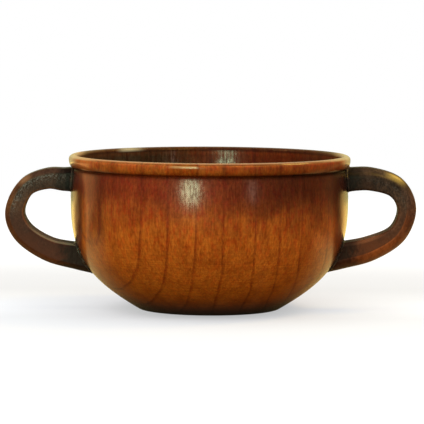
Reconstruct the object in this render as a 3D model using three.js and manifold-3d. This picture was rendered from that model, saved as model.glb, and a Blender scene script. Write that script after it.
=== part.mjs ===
// A two-handled wooden cup: a bowl turned from one block, and two sawn handles with rounded edges.
// Each handle is coped to the bowl's wall and held by two round pegs in blind holes and by glue.
// Millimetres, +Z up. The origin is on the table, under the middle of the foot.
// The handles are at -X and +X.
import * as THREE from "three";
import { mergeVertices, toCreasedNormals } from "three/addons/utils/BufferGeometryUtils.js";
import Module from "manifold-3d";

const wasm = await Module();
wasm.setup();

// Bowl, outside
const CUP_HEIGHT = 63;
const RIM_DIAMETER = 115; // over the bead round the mouth
const BEAD_HEIGHT = 4.5; // from the lip down to the groove
const BEAD_PROJECTION = 1.8; // how far the bead stands out from the neck below it
const BEAD_EDGE = 0.6; // rounding of the bead's lower edge
const LIP_OUTER_FALL = 2.8; // from the lip down to where the bead is widest
const GROOVE_WIDTH = 1.3; // turned in under the bead
const GROOVE_DEPTH = 0.5;
const BELLY_DIAMETER = 112.9; // the wall where it is widest
const BELLY_DROP = 19; // from the lip down to the belly
const FOOT_DIAMETER = 57;
const FOOT_EDGE = 0.8; // rounding of the foot's outer edge
const FOOT_HOLLOW_DIAMETER = 40; // turned into the underside, so that the cup stands on a ring
const FOOT_HOLLOW_DEPTH = 1.2;
const OUTSIDE_FLARE_DEG = 30.7; // rise of the wall as it leaves the foot
const FOOT_FULLNESS = 0.73; // how far each end of the wall's curve keeps straight, from 0 to 1
const BELLY_FULLNESS = 0.83;

// Bowl, inside
const WALL = 5.5; // at the belly
const FLOOR_THICKNESS = 7;
const FLOOR_DIAMETER = 40; // the flat middle of the floor
const INSIDE_FLARE_DEG = 18; // rise of the inside as it leaves the floor
const LIP_THICKNESS = 3.7; // from the bead's widest to the mouth
const LIP_INNER_ROUND = 1.6;
const THINNED_LIP = 8; // height over which the wall thins towards the lip

// Handles: shaped by hand, so each has sizes of its own
const HANDLE_WIDTH = 12.5; // front to back
const HANDLE_EDGE = 2.4; // rounding of the bar's four long edges
const ROOT_DEPTH = 10; // how far the bar is drawn straight on into the bowl before it is coped
const LEFT_REACH = 23.1; // from the bowl's side to the outermost point of the bar's centreline
const LEFT_UPPER_DROP = 10.2; // from the lip down to the middle of each seat
const LEFT_LOWER_DROP = 42.1;
const LEFT_UPPER_THICK = 9.5; // the bar's thickness at each seat, and at its slimmest
const LEFT_LOWER_THICK = 10.6;
const LEFT_SLIM_THICK = 7.5;
const RIGHT_REACH = 24.3;
const RIGHT_UPPER_DROP = 9.8;
const RIGHT_LOWER_DROP = 41.3;
const RIGHT_UPPER_THICK = 9.6;
const RIGHT_LOWER_THICK = 10.8;
const RIGHT_SLIM_THICK = 7.6;

// The course of each bar from its upper to its lower seat: how far it has gone out, fallen and slimmed,
// as shares of its reach, of the height between its seats and of its loss of thickness.
const LEFT_COURSE = [
  { out: 0.11, fall: 0, slim: 0.2 },
  { out: 0.4, fall: -0.01, slim: 0.65 },
  { out: 0.79, fall: 0.1, slim: 1 },
  { out: 1, fall: 0.42, slim: 0.85 },
  { out: 0.87, fall: 0.67, slim: 0.68 },
  { out: 0.4, fall: 0.9, slim: 0.42 },
];
const RIGHT_COURSE = [
  { out: 0.1, fall: -0.01, slim: 0.1 },
  { out: 0.38, fall: -0.01, slim: 0.2 },
  { out: 0.815, fall: 0.1, slim: 0.5 },
  { out: 1, fall: 0.37, slim: 1 },
  { out: 0.85, fall: 0.695, slim: 0.97 },
  { out: 0.38, fall: 0.9, slim: 0.34 },
];

// Pegs and glue
const PEG_DIAMETER = 4;
const PEG_CHAMFER = 0.6;
const PEG_IN_HANDLE = 7; // length of a peg inside the handle
const PEG_COVER = 1.7; // wood left between a peg's hole and the inside of the cup
const PEG_CLEARANCE = 0.2; // all round a peg in its hole
const PEG_END_GAP = 0.5; // left for glue at each end of a peg
const LOWER_PEG_RISE = 1; // the lower peg sits above the lower seat, because the bar climbs away from it
const GLUE_LINE = 0.3; // between the handle and the wall, and around each bead of glue
const GLUE_BEAD = 0.8; // width and height of the glue squeezed out around each seat

// Fineness of the facets
const STEPS_AROUND_BOWL = 60;
const STEPS_UP_WALL = 11;
const STEPS_UP_NECK = 5;
const STEPS_ALONG_HANDLE = 30;
const STEPS_PER_EDGE = 3;
const STEPS_AROUND_PEG = 16;
const CREASE_DEG = 35;

const rimRadius = RIM_DIAMETER / 2;
const bellyRadius = BELLY_DIAMETER / 2;
const footRadius = FOOT_DIAMETER / 2;
const bellyHeight = CUP_HEIGHT - BELLY_DROP;
const neckHeight = CUP_HEIGHT - BEAD_HEIGHT - GROOVE_WIDTH;
const neckRadius = rimRadius - BEAD_PROJECTION;

const woodOf = (color, roughness) => new THREE.MeshStandardMaterial({ color, roughness, metalness: 0 });
const bowlWood = woodOf(0x8f4413, 0.3);
const handleWood = woodOf(0x4a2413, 0.35);
const pegWood = woodOf(0xc8a06a, 0.7);
const glue = woodOf(0x1d120c, 0.3);

// Solids

// A closed geometry as a manifold-3d solid.
function solid(geometry) {
  const bare = geometry.clone();
  bare.deleteAttribute("normal");
  bare.deleteAttribute("uv");
  const merged = mergeVertices(bare, 1e-4);
  const corners = merged.index.array;
  const triangles = [];
  for (let i = 0; i < corners.length; i += 3) {
    const [a, b, c] = corners.slice(i, i + 3);
    if (a !== b && b !== c && c !== a) triangles.push(a, b, c);
  }
  const mesh = new wasm.Mesh({
    numProp: 3,
    vertProperties: merged.attributes.position.array,
    triVerts: new Uint32Array(triangles),
  });
  return new wasm.Manifold(mesh);
}

// A named three.js mesh of a manifold-3d solid.
function node(name, body, material) {
  const { vertProperties, triVerts } = body.getMesh();
  const geometry = new THREE.BufferGeometry();
  geometry.setAttribute("position", new THREE.BufferAttribute(vertProperties, 3));
  geometry.setIndex(new THREE.BufferAttribute(triVerts, 1));
  const mesh = new THREE.Mesh(toCreasedNormals(geometry, THREE.MathUtils.degToRad(CREASE_DEG)), material);
  mesh.name = name;
  return mesh;
}

// A profile of (radius, height) points, turned round the Z axis.
function turned(profile) {
  return solid(new THREE.LatheGeometry(profile, STEPS_AROUND_BOWL).rotateX(Math.PI / 2));
}

// A round bar along X, from one end to the other, with chamfered ends.
function roundBar(fromX, toX, height, radius, chamfer = 0) {
  const half = (toX - fromX) / 2;
  const profile = [
    new THREE.Vector2(0, -half),
    new THREE.Vector2(radius - chamfer, -half),
    new THREE.Vector2(radius, chamfer - half),
    new THREE.Vector2(radius, half - chamfer),
    new THREE.Vector2(radius - chamfer, half),
    new THREE.Vector2(0, half),
  ];
  const bar = new THREE.LatheGeometry(profile, STEPS_AROUND_PEG).rotateZ(-Math.PI / 2);
  return solid(bar.translate((fromX + toX) / 2, 0, height));
}

// Bowl

const at = (radius, height) => new THREE.Vector2(radius, height);

// The points of several curves that follow one another.
function joined(curves) {
  return curves.flatMap(([curve, steps], i) => curve.getPoints(steps).slice(i === 0 ? 0 : 1));
}

// The wall's curve from its foot to its belly: it leaves at the flare's angle and ends upright.
function wallCurve(from, to, flareDeg) {
  const flare = Math.tan(THREE.MathUtils.degToRad(flareDeg));
  const corner = at(to.x, from.y + (to.x - from.x) * flare);
  const leaving = from.clone().lerp(corner, FOOT_FULLNESS);
  const arriving = to.clone().lerp(corner, BELLY_FULLNESS);
  return new THREE.CubicBezierCurve(from, leaving, arriving, to);
}

// The outside from the foot's edge to the top of the lip, with the groove turned in or left plain.
function outsidePoints(grooved) {
  const flare = THREE.MathUtils.degToRad(OUTSIDE_FLARE_DEG);
  const foot = at(footRadius - FOOT_EDGE, 0);
  const wallFoot = at(footRadius + FOOT_EDGE * Math.cos(flare), FOOT_EDGE * Math.sin(flare));
  const belly = at(bellyRadius, bellyHeight);
  const neck = at(neckRadius, neckHeight);
  const midway = (bellyHeight + neckHeight) / 2;
  const beadFoot = at(rimRadius - 2 * BEAD_EDGE, neckHeight + GROOVE_WIDTH);
  const beadFace = at(rimRadius - BEAD_EDGE / 3, beadFoot.y + BEAD_EDGE);
  const crown = LIP_THICKNESS - LIP_INNER_ROUND;
  const crownFoot = at(rimRadius, CUP_HEIGHT - LIP_OUTER_FALL);
  const footEdge = new THREE.QuadraticBezierCurve(foot, at(footRadius, 0), wallFoot);
  const wall = wallCurve(wallFoot, belly, OUTSIDE_FLARE_DEG);
  const shoulder = new THREE.CubicBezierCurve(belly, at(bellyRadius, midway), at(neckRadius, midway), neck);
  const grooveBottom = at(neckRadius - 2 * GROOVE_DEPTH, beadFoot.y);
  const groove = new THREE.QuadraticBezierCurve(neck, grooveBottom, beadFoot);
  const beadEdge = new THREE.QuadraticBezierCurve(beadFoot, at(beadFace.x, beadFoot.y), beadFace);
  const lip = new THREE.EllipseCurve(rimRadius - crown, crownFoot.y, crown, LIP_OUTER_FALL, 0, Math.PI / 2);
  return joined([
    [footEdge, STEPS_PER_EDGE],
    [wall, STEPS_UP_WALL],
    [shoulder, STEPS_UP_NECK],
    grooved ? [groove, STEPS_UP_NECK] : [new THREE.LineCurve(neck, beadFoot), 1],
    [beadEdge, STEPS_PER_EDGE],
    [new THREE.LineCurve(beadFace, crownFoot), 1],
    [lip, STEPS_UP_NECK],
  ]);
}

// The inside from the top of the lip to the edge of the flat floor.
function insidePoints() {
  const floorEdge = at(FLOOR_DIAMETER / 2, FLOOR_THICKNESS);
  const belly = at(bellyRadius - WALL, bellyHeight);
  const mouth = at(rimRadius - LIP_THICKNESS, CUP_HEIGHT - LIP_INNER_ROUND);
  const thinned = mouth.y - THINNED_LIP / 2;
  const neck = new THREE.CubicBezierCurve(belly, at(belly.x, thinned), at(mouth.x, thinned), mouth);
  const round = LIP_INNER_ROUND;
  const lip = new THREE.EllipseCurve(mouth.x + round, mouth.y, round, round, Math.PI, Math.PI / 2, true);
  return joined([
    [wallCurve(floorEdge, belly, INSIDE_FLARE_DEG), STEPS_UP_WALL],
    [neck, STEPS_UP_NECK],
    [lip, STEPS_PER_EDGE],
  ]).reverse();
}

const outside = outsidePoints(true);
const inside = insidePoints();

// The radius of a run of profile points at a height, by straight lines between the points.
function radiusAt(points, height) {
  for (let i = 1; i < points.length; i++) {
    const [a, b] = [points[i - 1], points[i]];
    if ((a.y - height) * (b.y - height) <= 0 && a.y !== b.y) {
      return THREE.MathUtils.mapLinear(height, a.y, b.y, a.x, b.x);
    }
  }
  throw new Error("the bowl's wall doesn't reach " + height + " mm");
}

function bowlBody() {
  const hollowRadius = FOOT_HOLLOW_DIAMETER / 2;
  const underside = [
    at(0, FOOT_HOLLOW_DEPTH),
    at(hollowRadius - FOOT_HOLLOW_DEPTH, FOOT_HOLLOW_DEPTH),
    at(hollowRadius, 0),
  ];
  return turned([...underside, ...outside, ...inside.slice(1), at(0, FLOOR_THICKNESS)]);
}

// The bowl's outside as one full solid with no groove, grown by an allowance. Handles are coped with it.
function bowlEnvelope(allowance) {
  const plain = outsidePoints(false);
  const grown = plain.map((point, i) => {
    const before = plain[Math.max(i - 1, 0)];
    const after = plain[Math.min(i + 1, plain.length - 1)];
    const along = after.clone().sub(before).normalize();
    return at(point.x + along.y * allowance, point.y - along.x * allowance);
  });
  return turned([at(0, grown[0].y), ...grown, at(0, grown.at(-1).y)]);
}

// Handles

const handles = [
  {
    name: "left",
    side: -1,
    reach: LEFT_REACH,
    course: LEFT_COURSE,
    slimThick: LEFT_SLIM_THICK,
    seats: {
      upper: { height: CUP_HEIGHT - LEFT_UPPER_DROP, thick: LEFT_UPPER_THICK },
      lower: { height: CUP_HEIGHT - LEFT_LOWER_DROP, thick: LEFT_LOWER_THICK },
    },
  },
  {
    name: "right",
    side: 1,
    reach: RIGHT_REACH,
    course: RIGHT_COURSE,
    slimThick: RIGHT_SLIM_THICK,
    seats: {
      upper: { height: CUP_HEIGHT - RIGHT_UPPER_DROP, thick: RIGHT_UPPER_THICK },
      lower: { height: CUP_HEIGHT - RIGHT_LOWER_DROP, thick: RIGHT_LOWER_THICK },
    },
  },
];

// A bar's centreline from seat to seat, with x outwards, y up and the bar's thickness as z.
function centrelineOf({ reach, course, slimThick, seats: { upper, lower } }) {
  const seated = ({ height, thick }) => new THREE.Vector3(radiusAt(outside, height), height, thick);
  const bowlSide = Math.max(bellyRadius, seated(upper).x);
  const stations = course.map(({ out, fall, slim }) => {
    const nearer = fall < 0.5 ? upper : lower;
    return new THREE.Vector3(
      bowlSide + reach * out,
      THREE.MathUtils.lerp(upper.height, lower.height, fall),
      THREE.MathUtils.lerp(nearer.thick, slimThick, slim),
    );
  });
  return new THREE.CatmullRomCurve3([seated(upper), ...stations, seated(lower)]);
}

// The bar's outline seen from the front: both sides of its centreline, drawn on into the bowl.
function barOutline(handle) {
  const centreline = centrelineOf(handle);
  const outer = [];
  const inner = [];
  const addPair = (share, along) => {
    const { x, y, z: thick } = centreline.getPoint(share);
    const tangent = centreline.getTangent(share).setZ(0).normalize();
    const middle = at(x + tangent.x * along, y + tangent.y * along);
    const across = at(-tangent.y, tangent.x).multiplyScalar(thick / 2);
    outer.push(at(handle.side * (middle.x + across.x), middle.y + across.y));
    inner.push(at(handle.side * (middle.x - across.x), middle.y - across.y));
  };
  addPair(0, -ROOT_DEPTH);
  for (let i = 0; i <= STEPS_ALONG_HANDLE; i++) addPair(i / STEPS_ALONG_HANDLE, 0);
  addPair(1, ROOT_DEPTH);
  return new THREE.Shape([...outer, ...inner.reverse()]);
}

// The sawn bar with its edges rounded over, grown all round by an allowance.
function bar(handle, allowance = 0) {
  const edge = Math.min(HANDLE_EDGE, 0.4 * HANDLE_WIDTH, 0.4 * handle.slimThick);
  const width = HANDLE_WIDTH + 2 * allowance;
  const geometry = new THREE.ExtrudeGeometry(barOutline(handle), {
    depth: width - 2 * edge,
    bevelThickness: edge,
    bevelSize: edge,
    bevelOffset: allowance - edge,
    bevelSegments: STEPS_PER_EDGE,
  });
  return solid(geometry.translate(0, 0, edge - width / 2).rotateX(Math.PI / 2));
}

// Pegs: both of a handle lie along X, so that the handle is pushed straight on.

const pegHeights = ({ seats }) => ({
  upper: seats.upper.height,
  lower: seats.lower.height + LOWER_PEG_RISE,
});

// Where a peg's hole starts in the bowl's wall and ends in the handle, as distances from the axis.
function pegHole(height) {
  const radius = PEG_DIAMETER / 2 + PEG_CLEARANCE;
  const insideRadius = Math.max(radiusAt(inside, height), radiusAt(inside, height + radius));
  return {
    from: insideRadius + PEG_COVER,
    to: radiusAt(outside, height) + PEG_IN_HANDLE + PEG_END_GAP,
    radius,
  };
}

// A bar along a peg's hole on the handle's own side of the cup, shortened at both ends by a gap.
function alongHole(handle, height, radius, gap = 0, chamfer = 0) {
  const { from, to } = pegHole(height);
  const ends = [handle.side * (from + gap), handle.side * (to - gap)];
  return roundBar(Math.min(...ends), Math.max(...ends), height, radius, chamfer);
}

// Assembly

const cup = new THREE.Group();
const seatShell = bowlEnvelope(GLUE_LINE);
const wallShell = bowlEnvelope(GLUE_LINE + GLUE_BEAD).subtract(seatShell);
const glueShell = wallShell.trimByPlane([0, 0, -1], GLUE_LINE - neckHeight);
let bowl = bowlBody();

for (const handle of handles) {
  const { name, seats } = handle;
  let coped = bar(handle).subtract(seatShell);
  const collar = bar(handle, GLUE_LINE + GLUE_BEAD).subtract(bar(handle, GLUE_LINE)).intersect(glueShell);
  const middle = (seats.upper.height + seats.lower.height) / 2;
  for (const [seat, height] of Object.entries(pegHeights(handle))) {
    const hole = alongHole(handle, height, pegHole(height).radius);
    bowl = bowl.subtract(hole);
    coped = coped.subtract(hole);
    const peg = alongHole(handle, height, PEG_DIAMETER / 2, PEG_END_GAP, PEG_CHAMFER);
    cup.add(node(`peg_${name}_${seat}`, peg, pegWood));
    const up = seat === "upper" ? 1 : -1;
    cup.add(node(`glue_bead_${name}_${seat}`, collar.trimByPlane([0, 0, up], up * middle), glue));
  }
  cup.add(node(`handle_${name}`, coped, handleWood));
}
cup.add(node("bowl", bowl, bowlWood));

export default cup;
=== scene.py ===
"""The looks of a turned wooden cup with two loop handles, in metres, in the frame of its solids."""

import math
from types import SimpleNamespace

import bmesh
import bpy
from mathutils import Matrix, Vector


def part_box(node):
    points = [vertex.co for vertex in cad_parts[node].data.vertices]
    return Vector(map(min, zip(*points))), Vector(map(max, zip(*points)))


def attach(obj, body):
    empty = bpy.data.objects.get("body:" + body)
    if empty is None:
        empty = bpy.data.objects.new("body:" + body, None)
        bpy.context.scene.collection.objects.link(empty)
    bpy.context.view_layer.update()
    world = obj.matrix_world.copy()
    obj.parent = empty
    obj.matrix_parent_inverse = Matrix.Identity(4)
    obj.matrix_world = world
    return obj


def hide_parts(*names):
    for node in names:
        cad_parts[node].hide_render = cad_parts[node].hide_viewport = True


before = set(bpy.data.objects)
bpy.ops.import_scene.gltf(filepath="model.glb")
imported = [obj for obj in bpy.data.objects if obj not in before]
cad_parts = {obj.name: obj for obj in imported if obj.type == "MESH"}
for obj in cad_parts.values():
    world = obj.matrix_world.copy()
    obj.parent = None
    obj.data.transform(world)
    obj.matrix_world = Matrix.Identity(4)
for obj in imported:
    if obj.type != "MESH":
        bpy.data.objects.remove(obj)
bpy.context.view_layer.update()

# Bowl
# One block of ring-grained wood, turned inside and out on a lathe, with a bead and a groove round its
# mouth and a shallow hollow under its foot. It is stained reddish brown, darker towards the groove, and
# lacquered.

MM = 0.001
bowl_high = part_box("bowl")[1]
rim_radius = bowl_high.x
cup_height = bowl_high.z
bead_projection = 1.8 * MM
bead_underside = 3.5 * MM
lip_outer_fall = 1.8 * MM
lip_thickness = 3.7 * MM
lip_inner_round = 1.6 * MM
upright_lip = 11 * MM
upright_lean = 0.2 * MM
upright_belly = 3.5 * MM
groove_width = 0.8 * MM
groove_depth = 0.25 * MM
belly_radius = 56.7 * MM
belly_height = cup_height - 19 * MM
foot_radius = 28.5 * MM
foot_edge = 0.8 * MM
foot_hollow_radius = 20 * MM
foot_hollow_depth = 1.2 * MM
wall_thickness = 5.5 * MM
floor_thickness = 7 * MM
floor_radius = 20 * MM
floor_round = 9 * MM
outside_flare = math.radians(30.7)
inside_flare = math.radians(18)
foot_fullness = 0.73
belly_fullness = 0.83
neck_radius = rim_radius - bead_projection
bead_foot_height = cup_height - lip_outer_fall - bead_underside
neck_height = bead_foot_height - groove_width


def bend(*controls, steps):
    """Points (radius, height) along a Bézier curve, both ends included."""
    degree = len(controls) - 1
    points = []
    for step in range(steps + 1):
        t = step / steps
        point = Vector((0, 0))
        for k, control in enumerate(controls):
            point += math.comb(degree, k) * t**k * (1 - t) ** (degree - k) * Vector(control)
        points.append(point)
    return points


def quarter_round(centre, reach, rise, start, end, steps):
    """Points on a quarter of an ellipse between two angles in degrees, both ends included."""
    angles = [math.radians(start + (end - start) * step / steps) for step in range(steps + 1)]
    return [Vector((centre[0] + reach * math.cos(a), centre[1] + rise * math.sin(a))) for a in angles]


def wall_bend(foot, belly, flare, steps):
    """The wall from its foot to its belly: it leaves at the flare's angle and ends upright."""
    foot, belly = Vector(foot), Vector(belly)
    corner = Vector((belly.x, foot.y + (belly.x - foot.x) * math.tan(flare)))
    above_foot = foot.lerp(corner, foot_fullness)
    below_belly = belly.lerp(corner, belly_fullness)
    return bend(foot, above_foot, below_belly, belly, steps=steps)


def outside_points(grooved):
    """The outside from the foot's edge to the top of the lip, with the groove turned in or left plain."""
    wall_foot = (foot_radius + foot_edge * math.cos(outside_flare), foot_edge * math.sin(outside_flare))
    belly = (belly_radius, belly_height)
    neck = (neck_radius, neck_height)
    midway = (belly_height + neck_height) / 2
    bead_foot = (neck_radius, bead_foot_height)
    bead_middle = (neck_radius, cup_height - lip_outer_fall)
    groove_bottom = (neck_radius - 2 * groove_depth, (neck_height + bead_foot_height) / 2)
    crown = lip_thickness - lip_inner_round
    crown_middle = (rim_radius - crown, bead_middle[1])
    return [
        *bend((foot_radius - foot_edge, 0), (foot_radius, 0), wall_foot, steps=6),
        *wall_bend(wall_foot, belly, outside_flare, steps=48)[1:],
        *bend(belly, (belly_radius, midway), neck, steps=16)[1:],
        *(bend(neck, groove_bottom, bead_foot, steps=10)[1:] if grooved else [Vector(bead_foot)]),
        *quarter_round(bead_middle, bead_projection, bead_underside, -90, 0, steps=12)[1:],
        *quarter_round(crown_middle, crown, lip_outer_fall, 0, 90, steps=12)[1:],
    ]


def inside_points():
    """The inside from the top of the lip down to the middle of the floor."""
    belly = (belly_radius - wall_thickness, belly_height)
    mouth = (rim_radius - lip_thickness, cup_height - lip_inner_round)
    upright = (mouth[0] - upright_lean, mouth[1] - upright_lip)
    above_belly = (belly[0], belly[1] + upright_belly)
    round_centre = (mouth[0] + lip_inner_round, mouth[1])
    floor_corner = (floor_radius, floor_thickness)
    floor_edge = (floor_radius - floor_round, floor_thickness)
    wall = wall_bend(floor_corner, belly, inside_flare, steps=40)
    wall = [point for point in wall if point.x > floor_radius + floor_round]
    return [
        *quarter_round(round_centre, lip_inner_round, lip_inner_round, 90, 180, steps=8)[1:],
        *bend(mouth, upright, above_belly, belly, steps=14)[1:],
        *reversed(wall[:-1]),
        *bend(wall[0], floor_corner, floor_edge, steps=12)[1:],
        Vector((0, floor_thickness)),
    ]


underside = [
    Vector((0, foot_hollow_depth)),
    Vector((foot_hollow_radius - foot_hollow_depth, foot_hollow_depth)),
    Vector((foot_hollow_radius, 0)),
]


def drawn_line(name, points, radii=None, closed=False):
    """A line through points (x, y) of a drawing, with a radius kept at each point."""
    drawing = bpy.data.curves.new(name, "CURVE")
    drawing.dimensions = "3D"
    line = drawing.splines.new("POLY")
    line.points.add(len(points) - 1)
    line.use_cyclic_u = closed
    for i, (x, y) in enumerate(points):
        line.points[i].co = (x, y, 0, 1)
        line.points[i].radius = radii[i] if radii else 1
    helper = bpy.data.objects.new(name, drawing)
    bpy.context.scene.collection.objects.link(helper)
    return helper


def linked(value):
    """Whether a value comes out of a node."""
    return isinstance(value, bpy.types.NodeSocket)


def fill_inputs(made, inputs):
    """Gives each input of a node its value, or links it to another node's output."""
    for socket, value in inputs.items():
        if linked(value):
            made.id_data.links.new(value, made.inputs[socket])
        else:
            made.inputs[socket].default_value = value


def node(tree, kind, inputs=None, **settings):
    """A new node with its settings and its inputs."""
    made = tree.nodes.new(kind)
    for setting, value in settings.items():
        setattr(made, setting, value)
    fill_inputs(made, inputs or {})
    return made


def new_group(name, kind, inputs, outputs):
    """An empty node group with inputs and outputs of given kinds, what it is given, and its output node."""
    tree = bpy.data.node_groups.new(name, kind + "NodeTree")
    for direction, sockets in (("OUTPUT", outputs), ("INPUT", inputs)):
        for socket, socket_kind in sockets.items():
            tree.interface.new_socket(socket, in_out=direction, socket_type="NodeSocket" + socket_kind)
    return tree, node(tree, "NodeGroupInput").outputs, node(tree, "NodeGroupOutput")


def new_shape_tree(name, inputs):
    """An empty geometry tree, what it is given, and its output node."""
    return new_group(name, "Geometry", inputs, {"Geometry": "Geometry"})


def calc(operation, first, second=0.0, kind="ShaderNodeMath"):
    """One sum on two values, of which at least one comes out of a node."""
    tree = first.id_data if linked(first) else second.id_data
    return node(tree, kind, {0: first, 1: second}, operation=operation).outputs[0]


def axes(place):
    """The X, Y and Z of a place."""
    return node(place.id_data, "ShaderNodeSeparateXYZ", {0: place}).outputs


def shape_of(helper):
    """The shape of an object that is given to a tree."""
    return node(helper.id_data, "GeometryNodeObjectInfo", {"Object": helper}).outputs["Geometry"]


def kept(shape, name, value, kind="FLOAT"):
    """A shape with a value kept at each of its points, under a name."""
    inputs = {"Geometry": shape, "Name": name, "Value": value}
    return node(shape.id_data, "GeometryNodeStoreNamedAttribute", inputs, data_type=kind).outputs[0]


def merged(shape, nearer=1e-6):
    """A shape with the points joined that lie on each other."""
    inputs = {"Geometry": shape, "Distance": nearer}
    return node(shape.id_data, "GeometryNodeMergeByDistance", inputs).outputs[0]


def cut_away(body, tool, solver="MANIFOLD"):
    """The node that takes a tool's shape out of a body."""
    inputs = {"Mesh 1": body, "Mesh 2": tool}
    return node(body.id_data, "GeometryNodeMeshBoolean", inputs, operation="DIFFERENCE", solver=solver)


def lathe():
    """Turns a drawn profile, x outwards and y up, round the Z axis into a closed body, and keeps the radius
    of the profile's points as its lining: 0 outside and 1 inside."""
    tree, given, result = new_shape_tree("Lathe", {"Profile": "Object", "Steps around": "Int"})
    whole = "FunctionNodeIntegerMath"
    profile = shape_of(given["Profile"])
    steps_around = given["Steps around"]
    size = node(tree, "GeometryNodeAttributeDomainSize", {"Geometry": profile}, component="CURVE")
    rows = size.outputs["Point Count"]
    columns = calc("ADD", steps_around, 1, whole)
    grid = node(tree, "GeometryNodeMeshGrid", {"Vertices X": rows, "Vertices Y": columns}).outputs["Mesh"]
    index = node(tree, "GeometryNodeInputIndex").outputs[0]
    row = calc("DIVIDE_FLOOR", index, columns, whole)
    column = calc("MODULO", index, columns, whole)
    drawn_place = node(tree, "GeometryNodeInputPosition").outputs[0]
    at_place = {"Geometry": profile, "Index": row, "Value": drawn_place}
    drawn = node(tree, "GeometryNodeSampleIndex", at_place, data_type="FLOAT_VECTOR").outputs[0]
    drawn_radius = node(tree, "GeometryNodeInputRadius").outputs[0]
    at_radius = {"Geometry": profile, "Index": row, "Value": drawn_radius}
    lining = node(tree, "GeometryNodeSampleIndex", at_radius, data_type="FLOAT").outputs[0]
    lined = kept(grid, "lining", lining)
    x, y, _ = axes(drawn)
    upright = node(tree, "ShaderNodeCombineXYZ", {"X": x, "Z": y}).outputs[0]
    angle = calc("MULTIPLY", calc("DIVIDE", column, steps_around), 2 * math.pi)
    turn = {"Vector": upright, "Angle": angle}
    spun = node(tree, "ShaderNodeVectorRotate", turn, rotation_type="Z_AXIS").outputs[0]
    placed = node(tree, "GeometryNodeSetPosition", {"Geometry": lined, "Position": spun}).outputs[0]
    outward = node(tree, "GeometryNodeFlipFaces", {"Mesh": merged(placed)}).outputs[0]
    fill_inputs(result, {"Geometry": outward})
    return tree


def finished(body, material, crease=math.radians(35)):
    """The last nodes of a tree: smooth faces with sharp creases, no instances, and one material."""
    tree = body.id_data
    smooth = node(tree, "GeometryNodeSetShadeSmooth", {"Geometry": body}).outputs[0]
    angle = node(tree, "GeometryNodeInputMeshEdgeAngle").outputs["Unsigned Angle"]
    sharp = calc("GREATER_THAN", angle, crease, "FunctionNodeCompare")
    edges = {"Geometry": smooth, "Selection": sharp, "Shade Smooth": False}
    creased = node(tree, "GeometryNodeSetShadeSmooth", edges, domain="EDGE").outputs[0]
    real = node(tree, "GeometryNodeRealizeInstances", {"Geometry": creased}).outputs[0]
    return node(tree, "GeometryNodeSetMaterial", {"Geometry": real, "Material": material}).outputs[0]


def made_with(name, tree, values):
    """A plain mesh object made by a geometry tree from named values."""
    piece = bpy.data.objects.new(name, bpy.data.meshes.new(name))
    bpy.context.scene.collection.objects.link(piece)
    modifier = piece.modifiers.new(tree.name, "NODES")
    modifier.node_group = tree
    for socket in tree.interface.items_tree:
        if socket.in_out == "INPUT":
            modifier[socket.identifier] = values[socket.name]
    evaluated = piece.evaluated_get(bpy.context.evaluated_depsgraph_get())
    mesh = bpy.data.meshes.new_from_object(evaluated)
    piece.modifiers.clear()
    piece.data = mesh
    mesh.name = name
    return piece


# Each peg lies along X in a hole that is wider by a clearance and longer by a gap at both ends.
peg_names = [f"peg_{side}_{seat}" for side in ("left", "right") for seat in ("upper", "lower")]
peg_clearance = 0.2 * MM
peg_end_gap = 0.5 * MM
drill_sides = 32

drills_mesh = bpy.data.meshes.new("peg_drills")
drills_form = bmesh.new()
for name in peg_names:
    low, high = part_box(name)
    drill_radius = (high.z - low.z) / 2 + peg_clearance
    drill = bmesh.ops.create_cone(
        drills_form,
        cap_ends=True,
        segments=drill_sides,
        radius1=drill_radius,
        radius2=drill_radius,
        depth=high.x - low.x + 2 * peg_end_gap,
    )
    for corner in drill["verts"]:
        corner.co = (low + high) / 2 + Vector((corner.co.z, corner.co.y, -corner.co.x))
drills_form.to_mesh(drills_mesh)
drills_form.free()
peg_drills = bpy.data.objects.new("peg_drills", drills_mesh)
bpy.context.scene.collection.objects.link(peg_drills)


def turned_bowl():
    """The bowl off the lathe, with the pegs' holes drilled."""
    tree, given, result = new_shape_tree(
        "Turned bowl", {"Profile": "Object", "Steps around": "Int", "Drills": "Object", "Wood": "Material"}
    )
    turning = {"Profile": given["Profile"], "Steps around": given["Steps around"]}
    turned = node(tree, "GeometryNodeGroup", turning, node_tree=lathe_tree).outputs[0]
    drilled = cut_away(turned, shape_of(given["Drills"])).outputs[0]
    fill_inputs(result, {"Geometry": finished(drilled, given["Wood"])})
    return tree


def product(first, *others):
    """Values multiplied together."""
    for other in others:
        first = calc("MULTIPLY", first, other)
    return first


def rest(share):
    """What a share leaves of the whole."""
    return calc("SUBTRACT", 1.0, share)


def weighed(first, weight, second):
    """Two values added, the first by its weight and the second by the rest."""
    return calc("ADD", product(first, weight), product(second, 1 - weight))


def vector_calc(operation, first, second=(0, 0, 0)):
    """One sum on two places. A length or a distance comes back as a value."""
    made = node(first.id_data, "ShaderNodeVectorMath", {0: first, 1: second}, operation=operation)
    return made.outputs["Value" if operation in ("LENGTH", "DISTANCE") else "Vector"]


def ramp(value, low, high, to_low=0.0, to_high=1.0):
    """A value taken smoothly from one range to another and held at its ends."""
    limits = {0: value, 1: low, 2: high, 3: to_low, 4: to_high}
    return node(value.id_data, "ShaderNodeMapRange", limits, interpolation_type="SMOOTHSTEP").outputs[0]


def between(distance, low, high, to_low=0.0, to_high=1.0):
    """A ramp along a distance, between two limits in millimetres."""
    return ramp(distance, low * MM, high * MM, to_low, to_high)


def uneven(noise, least, most):
    """A noise's usual range taken to another."""
    return ramp(noise, 0.3, 0.7, least, most)


def near_lip(height, lower, upper, to_low=0.0, to_high=1.0):
    """A ramp up the bowl, between two depths in millimetres below the top of the lip."""
    return ramp(height, cup_height - lower * MM, cup_height - upper * MM, to_low, to_high)


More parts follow.
